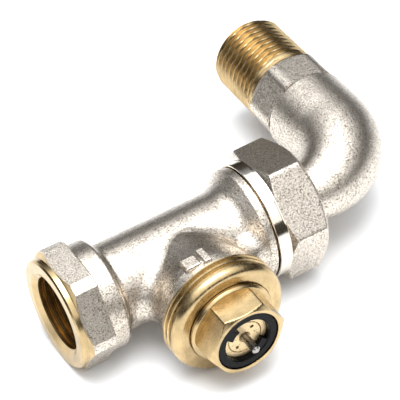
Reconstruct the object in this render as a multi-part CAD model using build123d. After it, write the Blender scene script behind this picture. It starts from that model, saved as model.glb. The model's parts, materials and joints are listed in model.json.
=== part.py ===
"""Thermostatic radiator valve, DN15, with a bent union tail.  Millimetres.

The pipe axis is X, from the inlet face at the origin towards the union.  The bonnet, which
carries the thermostat, points along -Y.  The outlet thread of the tail points along +Y.
Each piece is drawn upright on its own axis and then laid on one of three working planes.
"""
from build123d import *
import os
from math import cos, pi, radians, sin, sqrt

os.makedirs("parts", exist_ok=True)

# Driving dimensions --------------------------------------------------------------------------

BONNET_X = 33.0            # inlet face to bonnet axis
OUTLET_X = 88.0            # inlet face to the axis of the outlet thread
OUTLET_END = 54.5          # pipe axis to the end of the outlet thread

HALF_INCH_MAJOR = 20.955   # Rp 1/2 and R 1/2 pipe thread
HALF_INCH_MINOR = 18.631
HALF_INCH_PITCH = 1.814
UNION_MAJOR = 26.441       # G 3/4 union thread
HEAD_MAJOR = 30.0          # M30 x 1.5 thermostat thread
HEAD_PITCH = 1.5
HEAD_THREAD_DEPTH = 0.92

INLET_FLATS = 28.0         # inlet hexagon, across flats
INLET_CORNERS = 30.7       # across its cut-off corners
INLET_HEX_LENGTH = 8.4
INLET_LAND = 13.95         # turned rim in front of the inlet hexagon
COLLAR_RADIUS = 13.6       # round collar behind the inlet hexagon
COLLAR_END = 13.4
BARREL_RADIUS = 11.05
FLANGE_RADIUS = 14.6       # shoulder that faces the union nut
FLANGE_FACE = 53.3
BOSS_RADIUS = 13.6         # bonnet boss, behind the brass ring
SADDLE_FILLET = 3.6        # where the boss grows out of the barrel
BODY_END = 61.0

RING_BACK = 19.7           # brass ring on the bonnet, distances from the pipe axis
RING_FRONT = 25.2
RING_ROUND = 1.9           # round front edge of the brass ring
BONNET_BORE = 9.7
BUSH_SEAT = 24.4           # where the flange of the bush bears in the ring
FLANGE_RIM = 10.9          # flange of the bush, sunk in the ring with a thin gap round it
FLANGE_GAP = 0.22
BUSH_FLATS = 18.0          # headwork hexagon
HEX_FOOT = 26.6            # top of the flange, where the flats of the bush begin
BUSH_FRONT = 33.2
BUSH_HEX_TURN = 2.25       # degrees, corner of the hexagon from +X towards +Z

BUSH_BORE = 7.05           # in which the guide turns
DIAL_BORE = 8.1            # wider front of the bush, where the dial ring lies
DIAL_SEAT = 28.6
SLEEVE_RADIUS = 8.3        # throttle sleeve, round the plug
GUIDE_TOP = 31.4           # face of the guide and of the gland nut

PIN_RADIUS = 1.0
PIN_TIP = 36.7
STEM_HOLE = 1.52           # hole of everything that is threaded on the spindle
STEM_RADIUS = 1.5
SPRING_BOTTOM = 10.0
SPRING_TOP = 19.8
SPRING_MEAN = 4.0
SPRING_WIRE = 0.54         # radius of the wire
SPRING_TURNS = 6.0

NUT_FLATS = 30.0
NUT_TURN = 45.5            # degrees, a corner of the nut from +Y towards +Z
NUT_COLLAR_RADIUS = 15.2
NUT_START = 53.6
NUT_HEX_START = 56.8
NUT_END = 67.8

TAIL_START = 57.5          # end of the tail, inside the valve body
SPLIT_RING = (63.0, 65.0)  # groove of the split ring, along the pipe axis
TAIL_RADIUS = 7.4
TAIL_BORE = 5.6
BEND_RADIUS = 16.5
SWELL_RADIUS = 11.3        # the tail after its bend
OUTLET_FLATS = 20.8        # hexagon behind the outlet thread
OUTLET_HEX_START = 26.0
OUTLET_HEX_END = 35.6
OUTLET_HEX_TURN = 64.0     # degrees, a corner from -X towards +Z
OUTLET_BORE = 7.0

PIPE = Plane(origin=(0, 0, 0), x_dir=(0, 1, 0), z_dir=(1, 0, 0))
BONNET = Plane(origin=(BONNET_X, 0, 0), x_dir=(1, 0, 0), z_dir=(0, -1, 0))
OUTLET = Plane(origin=(OUTLET_X, 0, 0), x_dir=(-1, 0, 0), z_dir=(0, 1, 0))


# Drawing helpers -------------------------------------------------------------------------------

def turned(*outline):
    """A piece turned about its own Z axis, from (radius, height) corners."""
    return revolve(Face(Wire.make_polygon([(r, 0, h) for r, h in outline])), Axis.Z)


def ring(inner, outer, bottom, top):
    """A plain ring between two radii."""
    return turned((inner, bottom), (outer, bottom), (outer, top), (inner, top))


def rod(radius, bottom, top):
    """A plain round bar."""
    return turned((0, bottom), (radius, bottom), (radius, top), (0, top))


def o_ring(hole, section, height):
    """A ring of round section with the radius `section` round a hole of the radius `hole`."""
    return Pos(0, 0, height) * Torus(hole + section, section)


def hexagon(across_flats, bottom, top, turn=0.0):
    """A hexagonal bar with one corner at the angle `turn`."""
    corner = across_flats / sqrt(3)
    corners = [(corner * cos(radians(turn + 60 * k)), corner * sin(radians(turn + 60 * k)), bottom)
               for k in range(6)]
    return extrude(Face(Wire.make_polygon(corners)), top - bottom, dir=(0, 0, 1))


def thread_outline(crest, root, pitch, start, turns):
    """(radius, height) corners of parallel V grooves between flat crests."""
    corners = []
    for k in range(turns):
        groove = start + (k + 0.65) * pitch
        corners += [(crest, groove - 0.32 * pitch), (root, groove), (crest, groove + 0.32 * pitch)]
    return corners


def slot_cut(width, reach, bottom, top, angle=0.0):
    """A radial slot from the axis outwards, for the gap of a snap ring."""
    block = Pos(reach / 2, 0, (bottom + top) / 2) * Box(reach, width, top - bottom)
    return Rot(0, 0, angle) * block


def lay(plane, shape):
    """Moves an upright shape onto a working plane."""
    return plane.location * shape


# Valve body --------------------------------------------------------------------------------------

def valve_body():
    boss = turned((0, 1.0), (10.2, 1.0), (13.3, 14.6), (BOSS_RADIUS, 16.5), (BOSS_RADIUS, RING_BACK),
                  (0, RING_BACK))
    body = lay(PIPE, barrel()) + lay(BONNET, boss)
    saddle = body.edges().filter_by(GeomType.BSPLINE)
    body = fillet(saddle, SADDLE_FILLET)
    body += lay(PIPE, inlet_hexagon())
    body += lay(BONNET, thermostat_ring())
    for pad in casting_pads():
        body += lay(BONNET, pad)
    for cavity in water_way():
        body -= cavity
    return body


def inlet_hexagon():
    """Cast hexagon with blunt corners and round edges, behind a turned rim and shoulder."""
    cast = hexagon(INLET_FLATS, 0, INLET_HEX_LENGTH, 60) & hexagon(INLET_CORNERS, 0, INLET_HEX_LENGTH, 30)
    cast = fillet(cast.edges().filter_by(Axis.Z), 0.35)
    cast = fillet(cast.edges().group_by(Axis.Z)[-1], 0.35)
    return cast & turned((0, 0), (INLET_LAND - 0.5, 0), (INLET_LAND - 0.1, 0.4), (INLET_LAND, 1.6), (15.4, 2.5),
                         (18.0, 4.1), (18.0, INLET_HEX_LENGTH), (0, INLET_HEX_LENGTH))


def thermostat_ring():
    """Brass ring with the first turns of the thermostat thread behind a round front edge."""
    crest = HEAD_MAJOR / 2
    outline = [(0, RING_BACK), (crest, RING_BACK)]
    outline += thread_outline(crest, crest - HEAD_THREAD_DEPTH, HEAD_PITCH, RING_BACK, 2)
    outline += [(crest, RING_FRONT), (0, RING_FRONT)]
    blank = turned(*outline)
    return fillet(blank.edges().group_by(Axis.Z)[-1], RING_ROUND)


def casting_pads():
    """Two low pads with round edges on top of the bonnet boss."""
    for middle, height, width, length in ((-0.4, 13.4, 2.0, 4.6), (-4.0, 12.9, 4.0, 3.6)):
        yield Pos(middle, height, 15.7) * fillet(Box(width, 1.8, length).edges(), 0.4)


def barrel():
    """Collar, barrel, flare and union thread, with their round corners, about local Z."""
    thread = UNION_MAJOR / 2
    outline = FilletPolyline(
        (COLLAR_RADIUS, 0, 5.0), (COLLAR_RADIUS, 0, COLLAR_END), (BARREL_RADIUS, 0, COLLAR_END + 0.6),
        (BARREL_RADIUS, 0, 47.6), (FLANGE_RADIUS, 0, 51.6), (FLANGE_RADIUS, 0, FLANGE_FACE),
        (thread, 0, FLANGE_FACE), (thread, 0, BODY_END - 1.0), (thread - 1.0, 0, BODY_END),
        (0, 0, BODY_END), (0, 0, 5.0),
        radius=[0, 1.3, 1.6, 4.6, 1.0, 0, 0, 0, 0, 0, 0], close=True)
    return revolve(Face(Wire(outline.edges())), Axis.Z)


def water_way():
    """The bores: inlet thread, passages to and from the seat, seat hole, bonnet bore, outlet."""
    root = HALF_INCH_MAJOR / 2
    crest = HALF_INCH_MINOR / 2
    inlet = [(0, -1), (root + 1.4, -1), (root + 0.4, 0), (crest, 1.0)]
    inlet += thread_outline(crest, root, HALF_INCH_PITCH, 1.0, 6)
    inlet += [(crest, 14.0), (8.2, 15.0), (8.2, 21.4), (0, 21.4)]
    yield lay(PIPE, turned(*inlet))
    yield lay(PIPE, Pos(5.2, 0, 0) * rod(3.6, 20.0, 39.5))
    yield lay(PIPE, Pos(-4.8, 0, 0) * rod(3.5, BONNET_X, 47.0))
    spigot = TAIL_RADIUS + 0.1
    yield lay(PIPE, turned((0, 45.2), (8.4, 45.2), (8.4, 56.0), (spigot, 56.9), (spigot, BODY_END + 1),
                           (0, BODY_END + 1)))
    yield lay(BONNET, rod(4.5, -5.2, 2.0))
    yield lay(BONNET, ring(5.6, BONNET_BORE, -0.2, 2.0))
    yield lay(BONNET, rod(BONNET_BORE, 1.0, BUSH_SEAT + 1))
    yield lay(BONNET, rod(FLANGE_RIM + FLANGE_GAP, BUSH_SEAT, RING_FRONT + 1))


# Headwork ----------------------------------------------------------------------------------------

def headwork_bush():
    """Brass bush with a hexagon: holds everything that stands in the bonnet."""
    nose = 8.95
    skirt = turned(
        (BUSH_BORE, 11.0), (nose, 11.0), (nose, 11.8), (8.2, 11.8), (8.2, 13.4), (nose, 13.4), (nose, 14.2),
        (BONNET_BORE - 0.05, 14.9), (BONNET_BORE - 0.05, BUSH_SEAT),
        (BUSH_BORE, BUSH_SEAT))
    flange = turned((BUSH_BORE, BUSH_SEAT), (FLANGE_RIM, BUSH_SEAT), (FLANGE_RIM, HEX_FOOT - 0.6),
                    (FLANGE_RIM - 0.4, HEX_FOOT), (BUSH_BORE, HEX_FOOT))
    crown = turned((0, HEX_FOOT), (11, HEX_FOOT), (11, BUSH_FRONT - 1.2), (8.9, BUSH_FRONT), (0, BUSH_FRONT))
    head = hexagon(BUSH_FLATS, HEX_FOOT, BUSH_FRONT, BUSH_HEX_TURN) & crown
    bush = skirt + flange + head
    bush -= rod(BUSH_BORE, 10, DIAL_SEAT)
    bush -= rod(DIAL_BORE, DIAL_SEAT, BUSH_FRONT + 1)
    return bush


def presetting_ring():
    """Black plastic dial ring with two inward tabs, over the top of the guide."""
    dial = turned(
        (5.86, 30.0), (DIAL_BORE - 0.05, 30.0), (DIAL_BORE - 0.05, 32.6), (7.75, 32.9), (6.2, 32.9),
        (5.86, 32.6))
    tabs = Pos(0, 0, 32.1) * Box(11.9, 2.9, 1.2) - rod(4.2, 31, 34)
    return dial + Rot(0, 0, -43) * tabs


def spindle_guide():
    """Brass tube that turns in the bush and carries the gland and the throttle sleeve."""
    turning = BUSH_BORE - 0.05
    outer = [(0, 9.35), (7.05, 9.35), (7.05, 9.5), (SLEEVE_RADIUS, 9.5), (SLEEVE_RADIUS, 10.9),
             (turning, 10.9), (turning, 24.0), (6.2, 24.0), (6.2, 25.5), (turning, 25.5),
             (turning, 28.65), (6.45, 28.65), (6.45, 29.45), (turning, 29.45), (turning, 29.9),
             (5.8, 29.9), (5.8, GUIDE_TOP), (0, GUIDE_TOP)]
    guide = turned(*outer) + ring(5.0, 7.05, 7.8, 9.5)
    guide -= rod(5.6, 7.0, 21.5)
    guide -= ring(5.0, 6.15, 8.55, 9.35)
    guide -= rod(PIN_RADIUS + 0.1, 21, 24)
    guide -= rod(3.1, 23.6, 26.6)
    guide -= rod(4.5, 26.5, 32)
    return guide


def guide_clip():
    """Snap ring that keeps the guide in the bush."""
    return ring(6.47, 7.85, 28.7, 29.4) - slot_cut(2.2, 10, 28, 30, 120)


def gland_nut():
    """Brass nut that closes the gland, with two holes for its key."""
    nut = turned((PIN_RADIUS + 0.12, 26.5), (4.45, 26.5), (4.45, GUIDE_TOP - 0.25), (4.2, GUIDE_TOP),
                 (PIN_RADIUS + 0.5, GUIDE_TOP), (PIN_RADIUS + 0.12, GUIDE_TOP - 0.4))
    key_holes = [Rot(0, 0, 47 + 180 * k) * Pos(3.1, 0, 31.0) * Cylinder(0.45, 1.4) for k in range(2)]
    return nut - key_holes


def gland_washer():
    """Washer under the gland's O-ring."""
    return ring(PIN_RADIUS + 0.1, 3.05, 23.65, 24.25)


def gland_o_ring():
    """Seals the push pin."""
    return o_ring(PIN_RADIUS + 0.02, 0.98, 25.35)


def throttle_sleeve():
    """Plastic sleeve round the plug: its window sets the largest flow."""
    wall = 1.2
    sleeve = ring(SLEEVE_RADIUS - wall, SLEEVE_RADIUS, 1.2, 9.4)
    window = Pos(SLEEVE_RADIUS - wall / 2, 0, 3.6) * Box(6, 7.6, 5.2)
    return sleeve - window


def spring_clip():
    """Snap ring that holds the spring washer in the guide."""
    return ring(4.9, 6.1, 8.6, 9.3) - slot_cut(2.0, 8, 8, 10, 30)


def spring_washer():
    """Foot of the return spring."""
    return ring(1.75, 5.5, 9.35, SPRING_BOTTOM)


def return_spring():
    """Coil spring that lifts the plug off its seat."""
    bottom, top = SPRING_BOTTOM + SPRING_WIRE + 0.01, SPRING_TOP - SPRING_WIRE - 0.01
    path = Helix(pitch=(top - bottom) / SPRING_TURNS, height=top - bottom, radius=SPRING_MEAN)
    start = Plane(origin=path @ 0, z_dir=path % 0)
    return Pos(0, 0, bottom) * sweep(start * Circle(SPRING_WIRE), path=path, is_frenet=True)


# Moving stem -------------------------------------------------------------------------------------

def gland_pin():
    """Steel pin that the thermostat pushes."""
    return turned((0, 21.5), (PIN_RADIUS, 21.5), (PIN_RADIUS, PIN_TIP - 0.4), (0.6, PIN_TIP), (0, PIN_TIP))


def spindle():
    """Stem between the pin and the plug, with a groove for its clip."""
    return turned((0, 2.4), (STEM_RADIUS - 0.1, 2.4), (STEM_RADIUS, 2.6), (STEM_RADIUS, 20.62),
                  (1.2, 20.62), (1.2, 21.33), (STEM_RADIUS, 21.33), (STEM_RADIUS, 21.45), (0, 21.45))


def spring_cup():
    """Cap of the spring, held on the stem by the clip."""
    return turned((STEM_HOLE, 19.0), (2.6, 19.0), (2.6, 19.9), (4.9, 19.9), (4.9, 20.6), (STEM_HOLE, 20.6))


def spindle_clip():
    """Snap ring on the stem."""
    return ring(1.22, 2.9, 20.65, 21.3) - slot_cut(1.2, 5, 20, 22, 200)


def valve_plug():
    """Plug with a skirt round its seat washer."""
    return turned((STEM_HOLE, 5.0), (5.5, 5.0), (5.5, 4.0), (6.3, 4.0), (6.3, 6.2), (2.8, 6.2), (2.8, 7.6),
                  (STEM_HOLE, 7.6))


def seat_washer():
    """Rubber disc that closes on the seat."""
    return ring(STEM_HOLE, 5.45, 3.45, 4.98)


def plug_nut():
    """Small hexagon nut that clamps the seat washer."""
    return hexagon(4.6, 2.5, 3.43) - rod(STEM_HOLE, 2, 4)


# Union and tail ------------------------------------------------------------------------------------

def union_nut():
    """Union nut: round collar, hexagon with bevelled corners, back wall behind the split ring."""
    bore = UNION_MAJOR / 2 + 0.08
    collar = turned((0, NUT_START), (NUT_COLLAR_RADIUS - 0.4, NUT_START),
                    (NUT_COLLAR_RADIUS, NUT_START + 0.4), (NUT_COLLAR_RADIUS, NUT_HEX_START),
                    (0, NUT_HEX_START))
    chamfer = turned((0, NUT_HEX_START), (NUT_COLLAR_RADIUS, NUT_HEX_START), (20, NUT_HEX_START + 2.4),
                     (20, NUT_END - 3.2), (15.6, NUT_END - 0.9), (14.4, NUT_END), (0, NUT_END))
    nut = collar + (hexagon(NUT_FLATS, NUT_HEX_START, NUT_END, NUT_TURN) & chamfer)
    nut -= turned((0, NUT_START - 1), (bore + 0.6, NUT_START - 1), (bore + 0.6, NUT_START + 0.2),
                  (bore, NUT_START + 0.8), (bore, 65.1), (0, 65.1))
    nut -= rod(TAIL_RADIUS + 0.1, 65, NUT_END + 1)
    return nut


def union_gasket():
    """Flat gasket between the body's end and the split ring."""
    return ring(TAIL_RADIUS + 0.1, 12.6, BODY_END + 0.02, SPLIT_RING[0] - 0.02)


def tail_o_ring():
    """Seals the tail's spigot in the body."""
    return o_ring(TAIL_RADIUS - 0.88, 0.47, 59.2)


def split_ring():
    """Split ring in the tail's groove: the nut pulls the tail home through it."""
    inner = TAIL_RADIUS - 0.58
    return ring(inner, 12.0, SPLIT_RING[0] + 0.02, SPLIT_RING[1] - 0.02) - slot_cut(1.6, 14, 62, 66, 70)


def tailpiece_elbow():
    """Bent tail: spigot in the nut, 90 degree bend that swells, hexagon, outlet thread."""
    bend_start = OUTLET_X - BEND_RADIUS
    groove = TAIL_RADIUS - 0.9
    spigot = lay(PIPE, turned(
        (0, TAIL_START), (TAIL_RADIUS - 0.5, TAIL_START), (TAIL_RADIUS, TAIL_START + 0.5),
        (TAIL_RADIUS, 58.6), (groove, 58.6), (groove, 59.8), (TAIL_RADIUS, 59.8),
        (TAIL_RADIUS, SPLIT_RING[0]), (TAIL_RADIUS - 0.6, SPLIT_RING[0]),
        (TAIL_RADIUS - 0.6, SPLIT_RING[1]), (TAIL_RADIUS, SPLIT_RING[1]),
        (TAIL_RADIUS, bend_start), (0, bend_start)))

    sections = []
    for step in range(7):
        turn = step / 6 * pi / 2
        radius = TAIL_RADIUS + (SWELL_RADIUS - TAIL_RADIUS) * sin(min(1.0, 1.15 * step / 6) * pi / 2)
        centre = (bend_start + BEND_RADIUS * sin(turn), BEND_RADIUS * (1 - cos(turn)), 0)
        cut = Plane(origin=centre, x_dir=(0, 0, 1), z_dir=(cos(turn), sin(turn), 0))
        sections.append(cut * Circle(radius))
    bend = loft(sections)

    root = HALF_INCH_MINOR / 2
    crest = HALF_INCH_MAJOR / 2
    leg_outline = [(0, BEND_RADIUS), (SWELL_RADIUS, BEND_RADIUS), (SWELL_RADIUS, OUTLET_HEX_START - 0.3),
                   (SWELL_RADIUS - 0.3, OUTLET_HEX_START), (10.4, OUTLET_HEX_START), (10.4, OUTLET_HEX_END),
                   (crest - 0.7, OUTLET_HEX_END + 0.3), (crest, OUTLET_HEX_END + 0.9)]
    leg_outline += thread_outline(crest, root, HALF_INCH_PITCH, OUTLET_HEX_END + 0.9, 9)
    leg_outline += [(crest, OUTLET_END - 1.3), (crest - 1.2, OUTLET_END), (0, OUTLET_END)]
    leg = lay(OUTLET, turned(*leg_outline))
    crown = turned((0, 20), (11.4, 20), (11.6, OUTLET_HEX_END - 1.0), (10.4, OUTLET_HEX_END),
                   (0, OUTLET_HEX_END))
    grip = hexagon(OUTLET_FLATS, OUTLET_HEX_START - 0.3, OUTLET_HEX_END, OUTLET_HEX_TURN) & crown

    tail = spigot + bend + leg + lay(OUTLET, grip)
    bore_bend = Plane(origin=(bend_start, 0, 0), x_dir=(0, 0, 1), z_dir=(1, 0, 0)) * Circle(TAIL_BORE)
    tail -= revolve(bore_bend, Axis((bend_start, BEND_RADIUS, 0), (0, 0, 1)), 90)
    tail -= lay(PIPE, rod(TAIL_BORE, TAIL_START - 1, bend_start))
    tail -= lay(OUTLET, rod(OUTLET_BORE, BEND_RADIUS + 3, OUTLET_END + 1))
    tail -= lay(OUTLET, rod(TAIL_BORE, BEND_RADIUS, BEND_RADIUS + 4))
    return tail


# Write every piece -----------------------------------------------------------------------------------

PIECES = {
    "valve_body": valve_body(),
    "union_gasket": lay(PIPE, union_gasket()),
    "headwork_bush": lay(BONNET, headwork_bush()),
    "bush_o_ring": lay(BONNET, o_ring(8.22, 0.73, 12.6)),
    "presetting_ring": lay(BONNET, presetting_ring()),
    "spindle_guide": lay(BONNET, spindle_guide()),
    "guide_o_ring": lay(BONNET, o_ring(6.22, 0.40, 24.75)),
    "guide_clip": lay(BONNET, guide_clip()),
    "gland_nut": lay(BONNET, gland_nut()),
    "gland_o_ring": lay(BONNET, gland_o_ring()),
    "gland_washer": lay(BONNET, gland_washer()),
    "throttle_sleeve": lay(BONNET, throttle_sleeve()),
    "spring_clip": lay(BONNET, spring_clip()),
    "spring_washer": lay(BONNET, spring_washer()),
    "return_spring": lay(BONNET, return_spring()),
    "gland_pin": lay(BONNET, gland_pin()),
    "spindle": lay(BONNET, spindle()),
    "spring_cup": lay(BONNET, spring_cup()),
    "spindle_clip": lay(BONNET, spindle_clip()),
    "valve_plug": lay(BONNET, valve_plug()),
    "seat_washer": lay(BONNET, seat_washer()),
    "plug_nut": lay(BONNET, plug_nut()),
    "union_nut": lay(PIPE, union_nut()),
    "split_ring": lay(PIPE, split_ring()),
    "tail_o_ring": lay(PIPE, tail_o_ring()),
    "tailpiece_elbow": tailpiece_elbow(),
}

if __name__ == "__main__":
    for name, piece in PIECES.items():
        export_step(piece, f"parts/{name}.step")
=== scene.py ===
"""Radiator valve with a bent union tail: finishes, the turned and threaded show pieces, and the studio.

Lengths in the functions are millimetres in the valve's own frame (X along the pipe from the inlet
face, -Y out of the bonnet, +Y out of the outlet thread, +Z up) and become metres in the meshes.
"""
import json
import math

import bpy
import numpy as np
from bpy.props import FloatProperty, FloatVectorProperty
from mathutils import Matrix, Vector


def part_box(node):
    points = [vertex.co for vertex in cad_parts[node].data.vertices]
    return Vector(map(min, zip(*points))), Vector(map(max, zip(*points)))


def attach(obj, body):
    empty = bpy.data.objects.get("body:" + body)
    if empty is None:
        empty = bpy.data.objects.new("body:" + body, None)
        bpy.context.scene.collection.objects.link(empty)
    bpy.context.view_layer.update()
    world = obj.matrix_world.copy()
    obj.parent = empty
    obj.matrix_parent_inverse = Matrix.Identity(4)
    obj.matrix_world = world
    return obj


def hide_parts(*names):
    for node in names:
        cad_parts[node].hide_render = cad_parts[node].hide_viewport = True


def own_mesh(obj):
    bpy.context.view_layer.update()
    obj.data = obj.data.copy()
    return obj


bl_info = {
    "name": "Radiator valve",
    "version": (1, 0, 0),
    "blender": (4, 5, 0),
    "location": "View3D > Sidebar > Valve",
    "description": "Finishes, show pieces and studio of a thermostatic radiator valve",
    "category": "Object",
}

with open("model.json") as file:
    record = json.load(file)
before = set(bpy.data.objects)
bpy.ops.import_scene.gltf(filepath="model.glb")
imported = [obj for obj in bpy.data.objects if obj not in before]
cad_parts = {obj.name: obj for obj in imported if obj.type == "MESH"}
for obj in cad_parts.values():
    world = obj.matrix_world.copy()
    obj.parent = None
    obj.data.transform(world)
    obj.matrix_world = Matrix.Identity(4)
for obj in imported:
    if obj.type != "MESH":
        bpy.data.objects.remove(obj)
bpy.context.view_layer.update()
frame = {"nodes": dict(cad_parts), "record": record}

MM = 0.001
TURN = 2 * math.pi
CENTRE_OF_MASS = (0.0518, 0.0022)    # along x and y, metres


def reach(node, axis):
    """Lowest and highest coordinate of a CAD node along one axis, in millimetres."""
    low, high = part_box(node)
    return low[axis] / MM, high[axis] / MM


# Places that the finishes and the show pieces share, read from the frame -----------------------

BUSH_LOW, BUSH_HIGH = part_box("headwork_bush")
BONNET_X = (BUSH_LOW.x + BUSH_HIGH.x) / 2 / MM
BUSH_FRONT, BUSH_BACK = -BUSH_LOW.y / MM, -BUSH_HIGH.y / MM
NUT_START, NUT_END = reach("union_nut", 0)
TAIL_START = reach("tailpiece_elbow", 0)[0]
OUTLET_END = reach("tailpiece_elbow", 1)[1]
OUTLET_X = next(m for m in frame["record"]["mounts"] if m["name"] == "outlet_thread")["pos_m"][0] / MM

BEND_RADIUS = 16.5             # of the tail's centre line
BEND_START = OUTLET_X - BEND_RADIUS
BEND_END = BEND_START + BEND_RADIUS * math.pi / 2

# Where the casting is machined down to bare brass, millimetres
INLET_LAND = 13.97             # half the width of the turned rim, measured to the hexagon's flats
INLET_RIM_END = 2.42
INLET_BORE_RADIUS = 10.95      # over the roots of the inlet thread
INLET_BORE_END = 16.0
RING_BACK = 19.72              # back of the bonnet ring, from the pipe axis
FLANGE_FACE = 53.28            # face of the body's flange, behind which the union thread lies
OUTLET_THREAD_START = 35.66
SPIGOT_WALL = 7.3              # inside of the tail's spigot

TOOL_MARK_DEPTH = 0.000012     # of turned brass, metres
SHARP_EDGE = math.radians(32)  # a show piece's faces that meet at more stay sharp
WIRE_END = math.radians(50)


# Settings --------------------------------------------------------------------------------------

class ValveFinish(bpy.types.PropertyGroup):
    """Colours and grain of the finishes."""
    nickel: FloatVectorProperty(
        name="Nickel", description="Colour of the nickel plating", subtype="COLOR",
        size=3, min=0, max=1, default=(0.77, 0.70, 0.61))
    # Painted shade: the dark warm colour laid in the hollows of the blasted grain
    nickel_pit_shade: FloatVectorProperty(
        name="Nickel in pits", description="Colour in the pits of the blasted casting", subtype="COLOR",
        size=3, min=0, max=1, default=(0.10, 0.065, 0.035))
    brass: FloatVectorProperty(
        name="Brass", description="Colour of the bare machined brass", subtype="COLOR",
        size=3, min=0, max=1, default=(0.61, 0.45, 0.235))
    steel: FloatVectorProperty(
        name="Steel", description="Colour of the pin and the springs", subtype="COLOR",
        size=3, min=0, max=1, default=(0.36, 0.34, 0.32))
    grain: FloatProperty(
        name="Grain", description="Width of one pebble of the blasted casting, in metres",
        subtype="DISTANCE", min=0.0001, max=0.002, default=0.00040)
    grain_depth: FloatProperty(
        name="Grain depth", description="Depth of the blasted pebbles, in metres",
        subtype="DISTANCE", min=0, max=0.0002, default=0.00009)


class ValveShape(bpy.types.PropertyGroup):
    """Sizes of the show pieces that a maker would change, in millimetres."""
    nut_flats: FloatProperty(
        name="Nut across flats", description="Union nut, across flats, mm", default=30.0, min=20, max=40)
    nut_turn: FloatProperty(
        name="Nut turn", description="Angle of a corner of the union nut from +Y towards +Z",
        subtype="ANGLE", default=math.radians(45.5))
    bush_flats: FloatProperty(
        name="Bush across flats", description="Headwork hexagon, across flats, mm",
        default=18.0, min=12, max=24)
    outlet_flats: FloatProperty(
        name="Tail across flats", description="Hexagon behind the outlet thread, mm",
        default=20.8, min=16, max=26)
    outlet_pitch: FloatProperty(
        name="Outlet pitch", description="Pitch of the outlet thread, mm", default=1.814, min=0.5, max=3)


class ValveStudio(bpy.types.PropertyGroup):
    """Light and camera."""
    lens: FloatProperty(
        name="Lens", description="Focal length on a 36 mm sensor, mm", default=193.56, min=20, max=400)
    wide_power: FloatProperty(
        name="Wide power", description="Power of the large overhead softbox, watts", subtype="POWER",
        default=8.8, min=0)
    key_power: FloatProperty(
        name="Key power", description="Power of the small overhead softbox, watts", subtype="POWER",
        default=3.8, min=0)
    floor: FloatVectorProperty(
        name="Floor", description="Colour of the floor", subtype="COLOR", size=3, min=0, max=1,
        default=(0.93, 0.935, 0.94))


# Node helpers ----------------------------------------------------------------------------------

class Tree:
    """The node tree of one material. Each call adds one node and gives back its output."""

    def __init__(self, name):
        self.material = bpy.data.materials.new(name)
        self.material.use_nodes = True
        self.nodes = self.material.node_tree.nodes
        self.links = self.material.node_tree.links
        self.shader = self.nodes["Principled BSDF"]
        self.place = self.add("ShaderNodeTexCoord").outputs["Object"]

    def add(self, kind, **settings):
        node = self.nodes.new(kind)
        for key, value in settings.items():
            setattr(node, key, value)
        return node

    def put(self, socket, value):
        """Joins an output to a socket, or sets the socket's own number."""
        if isinstance(value, bpy.types.NodeSocket):
            self.links.new(value, socket)
        else:
            socket.default_value = value

    def math(self, operation, *values):
        node = self.add("ShaderNodeMath", operation=operation)
        for socket, value in zip(node.inputs, values):
            self.put(socket, value)
        return node.outputs["Value"]

    def split(self, vector):
        node = self.add("ShaderNodeSeparateXYZ")
        self.put(node.inputs[0], vector)
        return node.outputs[0], node.outputs[1], node.outputs[2]

    def join(self, x, y, z):
        node = self.add("ShaderNodeCombineXYZ")
        for socket, value in zip(node.inputs, (x, y, z)):
            self.put(socket, value)
        return node.outputs[0]

    def noise(self, scale, detail=3.0, roughness=0.6, vector=None):
        node = self.add("ShaderNodeTexNoise")
        self.put(node.inputs["Vector"], self.place if vector is None else vector)
        self.put(node.inputs["Scale"], scale)
        self.put(node.inputs["Detail"], detail)
        self.put(node.inputs["Roughness"], roughness)
        return node.outputs["Fac"]

    def ramp(self, factor, low, high, out_low=0.0, out_high=1.0):
        """The factor from low to high, carried to out_low to out_high and held beyond them."""
        node = self.add("ShaderNodeMapRange", clamp=True)
        for socket, value in zip(node.inputs, (factor, low, high, out_low, out_high)):
            self.put(socket, value)
        return node.outputs["Result"]

    def mix(self, factor, a, b):
        """Colour a at factor 0 and colour b at factor 1."""
        node = self.add("ShaderNodeMix", data_type="RGBA")
        self.put(node.inputs["Factor"], factor)
        self.put(node.inputs["A"], a)
        self.put(node.inputs["B"], b)
        return node.outputs["Result"]

    def bump(self, height, depth):
        node = self.add("ShaderNodeBump")
        node.inputs["Strength"].default_value = 1.0
        self.put(node.inputs["Distance"], depth)
        self.put(node.inputs["Height"], height)
        return node.outputs["Normal"]

    def distance_from(self, axis, x=0.0, y=0.0, z=0.0):
        """Distance in metres from the line through (x, y, z) along the axis 0, 1 or 2."""
        parts = self.split(self.place)
        centre = (x, y, z)
        squares = [self.math("POWER", self.math("SUBTRACT", parts[k], centre[k] * MM), 2.0)
                   for k in range(3) if k != axis]
        return self.math("SQRT", self.math("ADD", *squares))


def opaque(colour, share=1.0):
    return (colour[0] * share, colour[1] * share, colour[2] * share, 1.0)


def above(tree, value, limit, blur=0.00004):
    """1 where the value is over the limit, 0 under it, with a hair of blend."""
    return tree.ramp(value, limit - blur, limit + blur)


def below(tree, value, limit):
    return tree.math("SUBTRACT", 1.0, above(tree, value, limit))


def both(tree, a, b):
    return tree.math("MULTIPLY", a, b)


def either(tree, a, b):
    return tree.math("MAXIMUM", a, b)


# Finishes --------------------------------------------------------------------------------------

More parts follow.
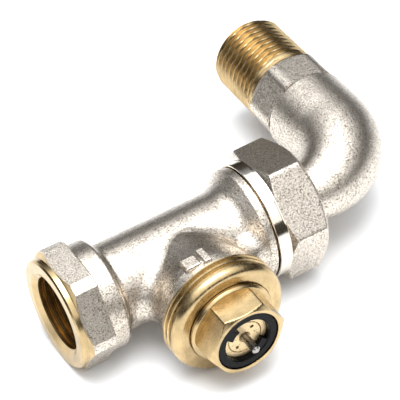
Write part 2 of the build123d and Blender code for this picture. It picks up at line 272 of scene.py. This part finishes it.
def cast_nickel(tree, finish):
    """Colour, roughness and height of nickel plating over a blasted casting: fine pebbles with a
    painted shade of dark warm colour in the hollows between them, a slower cloudiness, and a slightly uneven
    gloss."""
    fine = tree.noise(1 / finish.grain, 3.0, 0.8)
    coarse = tree.noise(0.3 / finish.grain, 2.0, 0.6)
    cloud = tree.noise(120.0, 3.0, 0.5)
    speck = tree.math("ADD", tree.math("MULTIPLY", fine, 0.86), tree.math("MULTIPLY", coarse, 0.14))
    # The low places of the pebble bump, where the nickel gets painted shade instead of its own colour
    pit_shade_mask = tree.ramp(speck, 0.36, 0.54)
    light = tree.mix(cloud, opaque(finish.nickel, 0.92), opaque(finish.nickel, 1.06))
    colour = tree.mix(pit_shade_mask, opaque(finish.nickel_pit_shade), light)
    rough = tree.ramp(speck, 0.40, 0.60, 0.38, 0.24)
    return colour, rough, speck


def turned_marks(tree, along, out, pitch=0.00012):
    """Height of fine tool marks that circle an axis: noise read on the distance along the axis
    and the distance from it only, so every mark is a ring."""
    rings = tree.join(along, out, 0.0)
    fine = tree.noise(1 / pitch, 2.0, 0.7, rings)
    slow = tree.noise(0.12 / pitch, 2.0, 0.5, rings)
    return tree.math("ADD", tree.math("MULTIPLY", fine, 0.6), tree.math("MULTIPLY", slow, 0.4))


def bright_brass(tree, finish, marks):
    """Colour and roughness of turned brass: ring marks, a little tarnish in clouds."""
    cloud = tree.noise(260.0, 4.0, 0.6)
    tarnish = tree.ramp(cloud, 0.35, 0.75)
    streaked = tree.mix(tree.ramp(marks, 0.35, 0.65), opaque(finish.brass, 0.78), opaque(finish.brass, 1.12))
    colour = tree.mix(tarnish, streaked, opaque(finish.brass, 0.62))
    rough = tree.ramp(marks, 0.3, 0.7, 0.18, 0.32)
    return colour, rough


def finish_shader(tree, colour, rough, normal=None, metallic=1.0):
    tree.put(tree.shader.inputs["Base Color"], colour)
    tree.put(tree.shader.inputs["Roughness"], rough)
    tree.shader.inputs["Metallic"].default_value = metallic
    if normal is not None:
        tree.put(tree.shader.inputs["Normal"], normal)
    return tree.material


def plated_with_brass(name, finish, axis, line, bare, smooth=None):
    """Nickel over a casting that turns to bare machined brass where the mask `bare` says, with
    the tool marks running round the given axis. `smooth` masks machined and plated places."""
    tree = Tree(name)
    colour, rough, speck = cast_nickel(tree, finish)
    height = tree.math("MULTIPLY", speck, finish.grain_depth)
    if smooth is not None:
        polished = smooth(tree)
        colour = tree.mix(polished, colour, opaque(finish.nickel, 1.1))
        rough = tree.math("MULTIPLY", rough, tree.ramp(polished, 0, 1, 1.0, 0.35))
        height = tree.math("MULTIPLY", height, tree.ramp(polished, 0, 1, 1.0, 0.03))
    out = tree.distance_from(axis, *line)
    along = tree.split(tree.place)[axis]
    marks = turned_marks(tree, along, out)
    brass_colour, brass_rough = bright_brass(tree, finish, marks)
    mask = bare(tree)
    colour = tree.mix(mask, colour, brass_colour)
    rough = tree.math("ADD", both(tree, rough, tree.math("SUBTRACT", 1.0, mask)),
                      both(tree, brass_rough, mask))
    brass_height = tree.math("MULTIPLY", marks, TOOL_MARK_DEPTH)
    height = tree.math("ADD", both(tree, height, tree.math("SUBTRACT", 1.0, mask)),
                       both(tree, brass_height, mask))
    return finish_shader(tree, colour, rough, tree.bump(height, 1.0))


def body_bare(tree):
    """Bare places of the body: the inlet bore and its turned rim, which is whatever lies inside
    the hexagon's flats near the mouth, the machined bonnet ring, and the union thread."""
    x, y, z = tree.split(tree.place)
    lean, rise = tree.math("MULTIPLY", y, math.cos(math.radians(30))), tree.math("MULTIPLY", z, 0.5)
    sides = (z, tree.math("ADD", lean, rise), tree.math("SUBTRACT", lean, rise))
    flats = [tree.math("ABSOLUTE", side) for side in sides]
    within = either(tree, flats[0], either(tree, flats[1], flats[2]))
    rim = both(tree, below(tree, within, INLET_LAND * MM), below(tree, x, INLET_RIM_END * MM))
    bore = both(tree, below(tree, tree.distance_from(0), INLET_BORE_RADIUS * MM),
                below(tree, x, INLET_BORE_END * MM))
    ring = below(tree, y, -RING_BACK * MM)
    union = above(tree, x, FLANGE_FACE * MM)
    return either(tree, either(tree, rim, bore), either(tree, ring, union))


def brass(name, finish, axis, line=(0, 0, 0)):
    tree = Tree(name)
    marks = turned_marks(tree, tree.split(tree.place)[axis], tree.distance_from(axis, *line))
    colour, rough = bright_brass(tree, finish, marks)
    return finish_shader(tree, colour, rough, tree.bump(marks, TOOL_MARK_DEPTH))


def satin_brass(name, finish):
    """Duller brass of the disc in the dial: paler, mottled, with small dark spots."""
    tree = Tree(name)
    mottle = tree.noise(1500.0, 4.0, 0.65)
    spots = tree.ramp(tree.noise(2400.0, 2.0, 0.5), 0.30, 0.38)
    pale = tree.mix(mottle, opaque(finish.brass, 0.85), (0.92, 0.74, 0.46, 1))
    colour = tree.mix(spots, opaque(finish.brass, 0.3), pale)
    return finish_shader(tree, colour, tree.ramp(mottle, 0.3, 0.7, 0.38, 0.55), tree.bump(mottle, 0.00003))


def bright_steel(name, finish):
    """Drawn stainless steel: fine scratches and a little dark clouding."""
    tree = Tree(name)
    cloud = tree.noise(900.0, 4.0, 0.7)
    colour = tree.mix(cloud, opaque(finish.steel, 0.7), opaque(finish.steel, 1.3))
    return finish_shader(tree, colour, tree.ramp(cloud, 0.3, 0.7, 0.18, 0.34), tree.bump(cloud, 0.00001))


def moulded(name, colour, rough_low, rough_high, depth):
    """Moulded plastic or rubber: a faint orange-peel skin with patches of duller gloss."""
    tree = Tree(name)
    skin = tree.noise(2600.0, 3.0, 0.6)
    patches = tree.noise(420.0, 2.0, 0.5)
    base = tree.mix(patches, opaque(colour, 0.8), opaque(colour, 1.2))
    rough = tree.ramp(patches, 0.3, 0.7, rough_low, rough_high)
    return finish_shader(tree, base, rough, tree.bump(skin, depth), metallic=0.0)


def wear(node, material):
    """Puts one material on a CAD node."""
    mesh = frame["nodes"][node].data
    if mesh.materials:
        mesh.materials[0] = material
    else:
        mesh.materials.append(material)


# Surfaces --------------------------------------------------------------------------------------

def outline(*corners, edge=0.0, step=0.0):
    """Rows (height, radius) through the corners of an open outline. Each inner corner is a small
    round: the curve leaves one side and meets the next at the distance `edge` from the corner,
    blending the sides by the squares of the shares. Long sides are divided by `step`."""
    points = np.asarray(corners, float)
    rows = [points[0]]
    share = np.linspace(0, 1, 5)[:, None]
    for before, corner, after in zip(points, points[1:], points[2:]):
        a, b = before - corner, after - corner
        la, lb = np.linalg.norm(a), np.linalg.norm(b)
        start, end = corner + a * min(edge / la, 0.45), corner + b * min(edge / lb, 0.45)
        rows.extend((1 - share) ** 2 * start + 2 * share * (1 - share) * corner + share ** 2 * end)
    rows = np.array([*rows, points[-1]])
    if not step:
        return rows
    finer = [a + (b - a) * t for a, b in zip(rows, rows[1:])
             for t in np.arange(0, 1, 1 / max(1, np.ceil(np.linalg.norm(b - a) / step)))]
    return np.array([*finer, rows[-1]])


def hexagon(angle, across_flats, turn, power=90.0):
    """Radius of a hexagon with slightly round corners: the inverse of the radius is the power
    mean of the cosines of the angles to the six flats, over half the width across flats."""
    flats = turn + TURN / 12 + np.arange(6) * TURN / 6
    toward = np.clip(np.cos(np.asarray(angle)[..., None] - flats), 0, None)
    return across_flats / 2 / (toward ** power).sum(-1) ** (1 / power)


def smaller(a, b, power=90.0):
    """The smaller of two radii, with a soft change from one to the other."""
    return (np.asarray(a, float) ** -power + np.asarray(b, float) ** -power) ** (-1 / power)


def grid_mesh(name, points):
    """A mesh from a grid of points, millimetres, shape (rows, columns, 3), that closes both ways:
    the last row joins the first and the last column joins the first."""
    rows, columns = points.shape[:2]
    index = np.arange(rows * columns).reshape(rows, columns)
    quads = np.stack([index, np.roll(index, -1, 1), np.roll(np.roll(index, -1, 0), -1, 1),
                      np.roll(index, -1, 0)], -1).reshape(-1, 4)
    mesh = bpy.data.meshes.new(name)
    mesh.vertices.add(rows * columns)
    mesh.vertices.foreach_set("co", (points.reshape(-1) * MM).astype(np.float32))
    mesh.loops.add(quads.size)
    mesh.loops.foreach_set("vertex_index", quads.reshape(-1).astype(np.int32))
    mesh.polygons.add(len(quads))
    mesh.polygons.foreach_set("loop_start", np.arange(0, quads.size, 4, dtype=np.int32))
    mesh.update(calc_edges=True)
    mesh.validate()
    mesh.shade_smooth()
    mesh.set_sharp_from_angle(angle=SHARP_EDGE)
    return mesh


def wire_mesh(name, points):
    """A mesh from rows of points round a wire, millimetres, shape (rows, columns, 3). The columns
    close round the wire, and a flat face closes each end."""
    rows, columns = points.shape[:2]
    index = np.arange(rows * columns).reshape(rows, columns)
    sides = np.stack([index[:-1], index[1:], np.roll(index, -1, 1)[1:], np.roll(index, -1, 1)[:-1]], -1)
    mesh = bpy.data.meshes.new(name)
    mesh.from_pydata((points.reshape(-1, 3) * MM).tolist(), [],
                     [*sides.reshape(-1, 4).tolist(), index[0].tolist(), index[-1, ::-1].tolist()])
    mesh.shade_smooth()
    mesh.set_sharp_from_angle(angle=WIRE_END)
    return mesh


def show(name, mesh, material, body, slot, *nodes):
    """Puts a finished mesh in the scene as a piece that stands for CAD nodes."""
    mesh.materials.append(material)
    piece = bpy.data.objects.new(name, mesh)
    bpy.context.scene.collection.objects.link(piece)
    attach(piece, body)
    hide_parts(*nodes)
    return piece


def about_pipe(radius, along, angle):
    """Points round the pipe axis X, the angle from +Y towards +Z."""
    return np.stack([np.broadcast_to(along, radius.shape), radius * np.cos(angle), radius * np.sin(angle)], -1)


def about_bonnet(radius, along, angle):
    """Points round the bonnet axis, which leaves the pipe at BONNET_X along -Y."""
    return np.stack([BONNET_X + radius * np.cos(angle), np.broadcast_to(-along, radius.shape),
                     radius * np.sin(angle)], -1)


# Pieces ----------------------------------------------------------------------------------------

class VALVE_OT_body(bpy.types.Operator):
    """Blasted, nickel-plated casting with its machined brass ends."""
    bl_idname = "valve.body"
    bl_label = "Body"

    def execute(self, context):
        finish = context.scene.valve_finish
        wear("valve_body", plated_with_brass("body_nickel_and_brass", finish, 0, (0, 0, 0), body_bare))
        return {"FINISHED"}


def around(count):
    return np.linspace(0, TURN, count, endpoint=False)[None, :]


class VALVE_OT_union_nut(bpy.types.Operator):
    """Union nut: a polished collar and a blasted hexagon with its corners turned off."""
    bl_idname = "valve.union_nut"
    bl_label = "Union nut"

    def execute(self, context):
        """The turned outline is carried round the pipe axis. Where it is wider than the hexagon,
        from the collar's shoulder on, the hexagon limits it with a soft edge."""
        shape = context.scene.valve_shape
        finish = context.scene.valve_finish
        collar, shoulder, thread, mouth = 15.2, NUT_START + 3.2, 13.3, 7.5
        rows = outline(
            (NUT_END - 2.7, thread), (NUT_START + 0.8, thread), (NUT_START, thread + 0.6), (NUT_START, collar),
            (shoulder, collar), (shoulder + 2.4, 20.0), (NUT_END - 3.2, 20.0), (NUT_END - 0.9, 15.6),
            (NUT_END, 14.4), (NUT_END, mouth), (NUT_END - 2.7, mouth), edge=0.35, step=0.22)
        along, radius = rows[:, :1], rows[:, 1:]
        angle = around(360)
        six = hexagon(angle, shape.nut_flats, shape.nut_turn)
        radius = np.where(along > shoulder - 0.4, smaller(radius, six), radius + 0 * six)
        mesh = grid_mesh("union_nut_show", about_pipe(radius, along, angle))
        material = plated_with_brass(
            "nut_nickel", finish, 0, (0, 0, 0),
            lambda t: t.math("SUBTRACT", 1.0, above(t, t.distance_from(0), 13.5 * MM)),
            lambda t: t.math("SUBTRACT", 1.0, above(t, t.split(t.place)[0], (shoulder + 0.02) * MM)))
        show("union_nut_show", mesh, material, "nut", "nickel_plate", "union_nut")
        return {"FINISHED"}


def about_tail(radius, along, angle):
    """Points round the tail's path: straight along X, a quarter circle, then straight along Y.
    The angle runs from the inside of the bend towards +Z."""
    turn = np.clip((along - BEND_START) / BEND_RADIUS, 0, math.pi / 2)
    x = np.minimum(along, BEND_START) + BEND_RADIUS * np.sin(turn)
    y = BEND_RADIUS * (1 - np.cos(turn)) + np.clip(along - BEND_END, 0, None)
    aside = radius * np.cos(angle)
    return np.stack([x - aside * np.sin(turn), y + aside * np.cos(turn), radius * np.sin(angle)], -1)


def thread_depth(along, angle, start, pitch):
    """Share of the full depth of a right-hand helical groove: flat crests and roots joined by
    straight flanks. The place in the pitch advances with the height and falls with the angle,
    and the groove runs out over its first turn."""
    place = (along - start) / pitch - angle / TURN
    wave = np.abs(2 * (place % 1) - 1)
    return np.clip((0.88 - wave) / 0.72, 0, 1) * np.clip(place, 0, 1)


class VALVE_OT_tail(bpy.types.Operator):
    """Bent tail: a swelling bend, a hexagon and a helical outlet thread."""
    bl_idname = "valve.tail"
    bl_label = "Tail"

    def execute(self, context):
        """Rows (distance along the path, radius) of the turned outline go round the path. On the
        hexagon the radius is the larger of the outline and the hexagon, and on the thread the
        helical groove is taken off the crest, inside the cone at the end."""
        shape = context.scene.valve_shape
        finish = context.scene.valve_finish
        spigot, swell, bore, wide_bore, crest, root = 7.4, 11.3, 5.6, 7.0, 10.4775, 9.3155
        leg = BEND_END - BEND_RADIUS          # added to y, gives the distance along the path
        hex_start, hex_end, end = leg + 26.0, leg + 35.6, leg + OUTLET_END
        inside = outline((end, wide_bore + 0.5), (end - 0.5, wide_bore), (leg + 19.5, wide_bore),
                         (leg + 19.5, bore), (BEND_END, bore))
        inside_bend = np.stack([np.linspace(BEND_END, BEND_START, 24), np.full(24, bore)], -1)
        straight = outline((BEND_START, bore), (TAIL_START, bore), (TAIL_START, spigot - 0.5),
                           (TAIL_START + 0.5, spigot), (58.6, spigot), (58.6, 6.5), (59.8, 6.5),
                           (59.8, spigot), (63.0, spigot), (63.0, 6.8), (65.0, 6.8), (65.0, spigot),
                           (BEND_START, spigot), edge=0.08)
        share = np.linspace(0, 1, 60)[1:]
        bend = np.stack([BEND_START + (BEND_END - BEND_START) * share,
                         spigot + (swell - spigot) * np.sin(np.minimum(1, 1.15 * share) * math.pi / 2)], -1)
        grip = outline((BEND_END, swell), (hex_start - 0.1, swell), (hex_start, 10.3), (hex_end - 0.6, 10.3),
                       (hex_end, 9.5), (hex_end + 0.4, 9.4), edge=0.25, step=0.16)
        turns = np.arange(hex_end + 0.5, end - 0.01, shape.outlet_pitch / 15)
        screw = np.stack([turns, np.full(len(turns), crest)], -1)
        rows = np.vstack([inside, inside_bend[1:], straight[1:], bend, grip[1:], screw, [[end, crest - 1.2]]])
        along, radius = rows[:, :1], rows[:, 1:]
        angle = around(216)
        six = hexagon(angle, shape.outlet_flats, math.radians(64.0))
        outside = np.arange(len(rows))[:, None] >= len(rows) - len(screw) - len(grip)
        crown = 11.5 - np.clip(along - (hex_end - 1.0), 0, 1) * 1.3 - 3.0 * (along > hex_end)
        gripped = outside & (along >= hex_start) & (along <= hex_end)
        radius = np.where(gripped, np.maximum(radius, smaller(six, crown)), radius + 0 * six)
        threaded = outside & (along > hex_end + 0.4)
        groove = crest - (crest - root) * thread_depth(along, angle, hex_end + 0.2, shape.outlet_pitch)
        cone = crest + 0.1 - np.clip(along - (end - 1.4), 0, None) * 0.9
        rise = crest - np.clip(hex_end + 1.2 - along, 0, None) * 0.9
        radius = np.where(threaded, np.minimum(np.minimum(groove, cone), rise), radius)
        mesh = grid_mesh("tail_show", about_tail(radius, along, angle))
        material = plated_with_brass(
            "tail_nickel", finish, 1, (OUTLET_X, 0, 0),
            lambda t: either(t, above(t, t.split(t.place)[1], OUTLET_THREAD_START * MM),
                             both(t, below(t, t.distance_from(0), SPIGOT_WALL * MM),
                                  below(t, t.split(t.place)[0], BEND_START * MM))))
        show("tail_show", mesh, material, "tail", "nickel_plate", "tailpiece_elbow")
        return {"FINISHED"}


class VALVE_OT_headwork(bpy.types.Operator):
    """Brass bush with its hexagon, black dial ring, gland and steel pin."""
    bl_idname = "valve.headwork"
    bl_label = "Headwork"

    def execute(self, context):
        finish = context.scene.valve_finish
        self.bush(context.scene.valve_shape, brass("bush_brass", finish, 1, (BONNET_X, 0, 0)))
        disc = satin_brass("disc_brass", finish)
        for node in ("spindle_guide", "gland_nut"):
            wear(node, disc)
        dial = moulded("dial_black", (0.004, 0.004, 0.004), 0.16, 0.34, 0.00002)
        dial.node_tree.nodes["Principled BSDF"].inputs["Specular IOR Level"].default_value = 0.08
        wear("presetting_ring", dial)
        wear("gland_pin", bright_steel("pin_steel", finish))
        return {"FINISHED"}

    def bush(self, shape, material):
        """The turned outline goes round the bonnet axis. In front of the flange the radius is the
        larger of the outline and the hexagon, and the crown cone limits the hexagon's corners."""
        bore, dial, seat, foot, rim = 7.05, 8.1, 24.4, 26.6, 10.9
        front, flat = BUSH_FRONT, shape.bush_flats / 2
        rows = outline(
            (28.6, bore), (BUSH_BACK, bore), (BUSH_BACK, 8.95), (11.8, 8.95), (11.8, 8.2), (13.4, 8.2),
            (13.4, 8.95), (14.2, 8.95), (14.9, 9.65), (seat, 9.65), (seat, rim), (foot - 0.6, rim),
            (foot, rim - 0.4), (foot, flat - 0.3), (front - 1.0, flat - 0.4), (front, flat - 0.5),
            (front, dial), (28.6, dial), edge=0.12, step=0.2)
        along, radius = rows[:, :1], rows[:, 1:]
        angle = around(300)
        six = hexagon(angle, shape.bush_flats, math.radians(2.25))
        crown = 11.0 - np.clip(along - (front - 1.2), 0, 1.2) * 1.75
        outer = (along > foot - 0.01) & (radius > dial + 0.1)
        radius = np.where(outer, np.maximum(radius, smaller(six, crown)), radius + 0 * six)
        mesh = grid_mesh("bush_show", about_bonnet(radius, along, angle))
        show("bush_show", mesh, material, "valve", "machined_brass", "headwork_bush")


class VALVE_OT_inner_parts(bpy.types.Operator):
    """Everything that stands inside: springs, clips, seals, the plug and its spindle."""
    bl_idname = "valve.inner_parts"
    bl_label = "Inner parts"

    def execute(self, context):
        finish = context.scene.valve_finish
        steel = bright_steel("inner_steel", finish)
        rubber = moulded("seal_rubber", (0.016, 0.016, 0.016), 0.45, 0.6, 0.00003)
        white = moulded("sleeve_white", (0.75, 0.74, 0.70), 0.35, 0.5, 0.00002)
        self.spring(bright_steel("spring_steel", finish))
        fibre = moulded("gasket_fibre", (0.16, 0.07, 0.04), 0.7, 0.85, 0.00005)
        turned = brass("inner_brass", finish, 1, (BONNET_X, 0, 0))
        for material, nodes in (
                (steel, ("spring_clip", "spindle_clip", "guide_clip", "spindle",
                         "spring_washer", "split_ring")),
                (rubber, ("bush_o_ring", "guide_o_ring", "gland_o_ring", "tail_o_ring", "seat_washer")),
                (white, ("throttle_sleeve", "gland_washer")),
                (fibre, ("union_gasket",)),
                (turned, ("spring_cup", "valve_plug", "plug_nut"))):
            for node in nodes:
                wear(node, material)
        return {"FINISHED"}

    def spring(self, material):
        """A round wire along a helix about the bonnet axis: the wire's own angle moves a point
        out by its cosine and along by its sine."""
        low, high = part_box("return_spring")
        turns, wire, travel = 6, 0.54, 2.4
        foot, top = -high.y / MM, -low.y / MM
        share = np.linspace(0, 1, turns * 40)[:, None]
        round_wire = around(12)
        along = foot + wire + (top - foot - 2 * wire) * share
        mean = (high.x - low.x) / 2 / MM - wire
        points = about_bonnet(mean + wire * np.cos(round_wire) + 0 * share,
                              along + wire * np.sin(round_wire), turns * TURN * share)
        piece = show("spring_show", wire_mesh("spring_show", points), material, "dial", "stainless_steel",
                     "return_spring")
        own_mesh(piece)


# Studio ----------------------------------------------------------------------------------------

def resting_plane(points, centre):
    """Height and slopes (z at the origin, along x, along y) of the plane that the valve rests on.
    For given slopes the plane is pushed up until it touches the lowest point. The slopes at which
    it then stands highest under the centre of mass are those it rests with, found on a square of
    trial slopes that shrinks round the best one."""
    may_touch = 0.006
    low = points[points[:, 2] < points[:, 2].min() + may_touch]
    trial = np.stack(np.meshgrid(np.linspace(-1, 1, 9), np.linspace(-1, 1, 9)), -1).reshape(-1, 2)
    best, width = np.zeros(2), 0.3
    for _ in range(30):
        slopes = best + trial * width
        height = (low[None, :, 2] - slopes @ low[:, :2].T).min(1)
        top = int((height + slopes @ centre[:2]).argmax())
        best, width = slopes[top], width * 0.6
    return height[top], best[0], best[1]


def node_points(node):
    mesh = frame["nodes"][node].data
    points = np.empty(len(mesh.vertices) * 3, np.float32)
    mesh.vertices.foreach_get("co", points)
    return points.reshape(-1, 3).astype(float)


def softbox(name, place, target, width, height, power):
    light = bpy.data.lights.new(name, "AREA")
    light.shape = "RECTANGLE"
    light.size, light.size_y = width, height
    light.energy = power
    lamp = bpy.data.objects.new(name, light)
    lamp.location = place
    lamp.rotation_euler = (Vector(target) - Vector(place)).to_track_quat("-Z", "Y").to_euler()
    bpy.context.scene.collection.objects.link(lamp)


class VALVE_OT_stage(bpy.types.Operator):
    """Pale floor that the valve rests on, overhead softboxes, dim room and the camera."""
    bl_idname = "valve.stage"
    bl_label = "Stage"

    def execute(self, context):
        studio = context.scene.valve_studio
        self.floor(studio)
        self.lights(studio)
        self.room()
        self.camera(context, studio)
        return {"FINISHED"}

    def floor(self, studio):
        points = np.vstack([node_points(n) for n in ("valve_body", "union_nut", "tailpiece_elbow",
                                                     "headwork_bush")])
        height, along, across = resting_plane(points, np.array(CENTRE_OF_MASS))
        half = 2.5
        corners = [(x, y, height + along * x + across * y)
                   for x, y in ((-half, -half), (half, -half), (half, half), (-half, half))]
        mesh = bpy.data.meshes.new("floor")
        mesh.from_pydata(corners, [], [(0, 1, 2, 3)])
        tree = Tree("floor_pale")
        cloud = tree.noise(6.0, 2.0, 0.5)
        colour = tree.mix(cloud, opaque(studio.floor), opaque(studio.floor, 0.985))
        mesh.materials.append(finish_shader(tree, colour, 0.55, metallic=0.0))
        floor = bpy.data.objects.new("floor", mesh)
        bpy.context.scene.collection.objects.link(floor)

    def lights(self, studio):
        softbox("wide_softbox", (0.05, -0.13, 0.62), (0.05, -0.01, 0.0), 1.3, 1.8, studio.wide_power)
        softbox("key_softbox", (0.02, -0.02, 0.60), (0.05, -0.01, 0.0), 0.42, 0.42, studio.key_power)

    def room(self):
        """Light by direction: dark walls round the horizon and a pale ceiling."""
        world = bpy.data.worlds.new("room")
        world.use_nodes = True
        nodes, links = world.node_tree.nodes, world.node_tree.links
        place = nodes.new("ShaderNodeTexCoord")
        split = nodes.new("ShaderNodeSeparateXYZ")
        ramp = nodes.new("ShaderNodeValToRGB")
        links.new(place.outputs["Generated"], split.inputs[0])
        links.new(split.outputs[2], ramp.inputs[0])
        links.new(ramp.outputs[0], nodes["Background"].inputs["Color"])
        ramp.color_ramp.elements[0].position = 0.0
        ramp.color_ramp.elements[0].color = (0.030, 0.026, 0.020, 1)
        ramp.color_ramp.elements[1].position = 0.9
        ramp.color_ramp.elements[1].color = (0.70, 0.76, 0.84, 1)
        wall = ramp.color_ramp.elements.new(0.40)
        wall.color = (0.070, 0.063, 0.052, 1)
        nodes["Background"].inputs["Strength"].default_value = 1.0
        bpy.context.scene.world = world

    def camera(self, context, studio):
        """The camera's place from its distance, azimuth, elevation and roll about the crossing of
        the pipe and bonnet axes, and the aim that sets that crossing beside the picture's middle."""
        azimuth, elevation, roll = math.radians(-27.915), math.radians(43.631), math.radians(5.163)
        distance, aside, below = 513.52, -25.615, 57.182
        focal = studio.lens * 400 / 36
        back = np.array([math.sin(azimuth) * math.cos(elevation), -math.cos(azimuth) * math.cos(elevation),
                         math.sin(elevation)])
        right = np.array([math.cos(azimuth), math.sin(azimuth), 0])
        up = np.cross(back, right)
        turned_right = math.cos(roll) * right - math.sin(roll) * up
        turned_up = math.sin(roll) * right + math.cos(roll) * up
        shift = distance * np.array([aside / focal, below / focal, 1.0])
        place = -(turned_right * shift[0] - turned_up * shift[1] - back * shift[2])
        place = (place + [BONNET_X, 0, 0]) * MM
        data = bpy.data.cameras.new("camera")
        data.lens, data.sensor_width = studio.lens, 36.0
        data.clip_start, data.clip_end = 0.01, 20.0
        camera = bpy.data.objects.new("camera", data)
        camera.matrix_world = Matrix((
            (turned_right[0], turned_up[0], back[0], place[0]),
            (turned_right[1], turned_up[1], back[1], place[1]),
            (turned_right[2], turned_up[2], back[2], place[2]),
            (0, 0, 0, 1)))
        context.scene.collection.objects.link(camera)
        context.scene.camera = camera
        context.scene.view_settings.view_transform = "Standard"


class VALVE_PT_panel(bpy.types.Panel):
    """Sidebar panel that lists the pieces."""
    bl_idname = "VALVE_PT_panel"
    bl_label = "Radiator valve"
    bl_space_type = "VIEW_3D"
    bl_region_type = "UI"
    bl_category = "Valve"

    def draw(self, context):
        for group in (context.scene.valve_finish, context.scene.valve_shape, context.scene.valve_studio):
            for key in group.__annotations__:
                self.layout.prop(group, key)
        for operator in OPERATORS:
            self.layout.operator(operator.bl_idname)


GROUPS = {"valve_finish": ValveFinish, "valve_shape": ValveShape, "valve_studio": ValveStudio}
OPERATORS = (VALVE_OT_body, VALVE_OT_union_nut, VALVE_OT_tail, VALVE_OT_headwork, VALVE_OT_inner_parts,
             VALVE_OT_stage)


def register():
    for name, group in GROUPS.items():
        bpy.utils.register_class(group)
        setattr(bpy.types.Scene, name, bpy.props.PointerProperty(type=group))
    for part in (*OPERATORS, VALVE_PT_panel):
        bpy.utils.register_class(part)


def unregister():
    for part in (VALVE_PT_panel, *reversed(OPERATORS)):
        bpy.utils.unregister_class(part)
    for name, group in GROUPS.items():
        delattr(bpy.types.Scene, name)
        bpy.utils.unregister_class(group)


def main():
    register()
    for operator in OPERATORS:
        group, action = operator.bl_idname.split(".")
        getattr(getattr(bpy.ops, group), action)()


if __name__ == "__main__":
    main()
